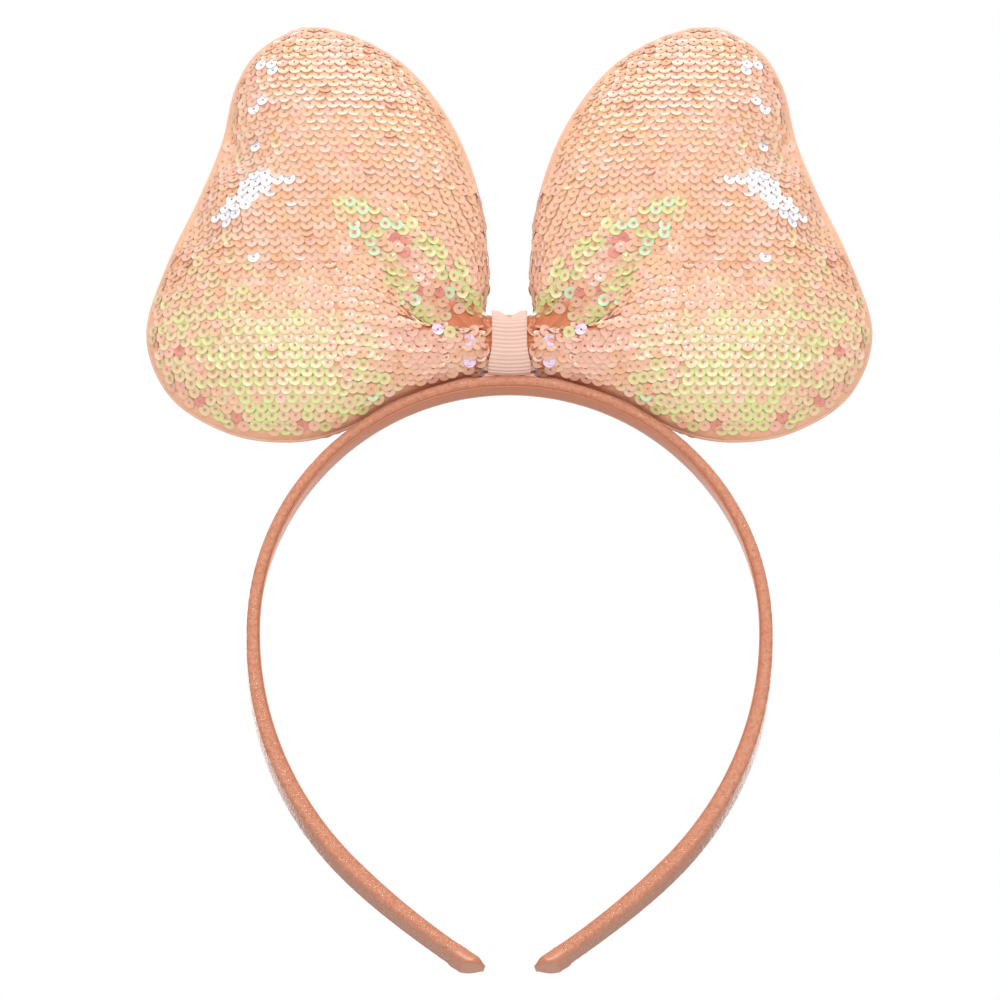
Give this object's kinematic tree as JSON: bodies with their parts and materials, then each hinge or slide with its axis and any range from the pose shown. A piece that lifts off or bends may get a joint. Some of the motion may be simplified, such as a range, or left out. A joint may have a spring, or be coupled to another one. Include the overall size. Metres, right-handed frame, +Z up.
{
  "type": "sequin bow headband",
  "caption": "Springy satin-covered hoop headband carrying a padded sequin bow whose loops stand up like rounded ears.",
  "frame": {"origin": "centre of the hoop's round inner face, midway across the hoop's width", "axes": "+Z up through the bow's knot, +X to the right seen from the front, the front faces -Y"},
  "size_m": [0.1788, 0.0332, 0.2378],
  "materials": {
    "hoop_plastic": "moulded springy plastic",
    "satin": "copper-peach satin, slightly puckered",
    "lining_satin": "flat satin ribbon",
    "tip_satin": "folded satin ribbon",
    "glue": "cured hot-melt glue",
    "sequin_fabric": "stretch fabric covered in iridescent peach sequins",
    "seam_fabric": "turned and stitched edge",
    "fibre_fill": "polyester fibre filling",
    "thread": "wound polyester thread",
    "grosgrain": "ribbed grosgrain ribbon"
  },
  "bodies": {
    "crown": {"crown_core": "hoop_plastic", "crown_satin_cover": "satin", "crown_lining_ribbon": "lining_satin", "glue_pad": "glue", "gathered_neck": "sequin_fabric", "gathering_thread": "thread", "knot_ribbon": "grosgrain"},
    "left_arm": {"left_arm_core": "hoop_plastic", "left_arm_satin_cover": "satin", "left_arm_lining_ribbon": "lining_satin", "left_tip_wrap": "tip_satin"},
    "left_lobe": {"left_lobe_front_panel": "sequin_fabric", "left_lobe_back_panel": "sequin_fabric", "left_lobe_filling": "fibre_fill", "left_lobe_seam": "seam_fabric"},
    "right_arm": {"right_arm_core": "hoop_plastic", "right_arm_satin_cover": "satin", "right_arm_lining_ribbon": "lining_satin", "right_tip_wrap": "tip_satin"},
    "right_lobe": {"right_lobe_front_panel": "sequin_fabric", "right_lobe_back_panel": "sequin_fabric", "right_lobe_filling": "fibre_fill", "right_lobe_seam": "seam_fabric"}
  },
  "joints": [
    {"name": "left_arm_flex", "type": "hinge", "parent": "crown", "child": "left_arm", "pos_m": [-0.05231, 0, 0.03528], "axis": [0, 1, 0], "range_deg": [0, 15], "stiffness_Nm_per_rad": 1.5},
    {"name": "left_lobe_flop", "type": "hinge", "parent": "crown", "child": "left_lobe", "pos_m": [-0.007, 0, 0.0725], "axis": [0, 0, -1], "range_deg": [-20, 20], "stiffness_Nm_per_rad": 0.02},
    {"name": "right_arm_flex", "type": "hinge", "parent": "crown", "child": "right_arm", "pos_m": [0.05231, 0, 0.03528], "axis": [0, -1, 0], "range_deg": [0, 15], "stiffness_Nm_per_rad": 1.5},
    {"name": "right_lobe_flop", "type": "hinge", "parent": "crown", "child": "right_lobe", "pos_m": [0.007, 0, 0.0725], "axis": [0, 0, 1], "range_deg": [-20, 20], "stiffness_Nm_per_rad": 0.02}
  ]
}
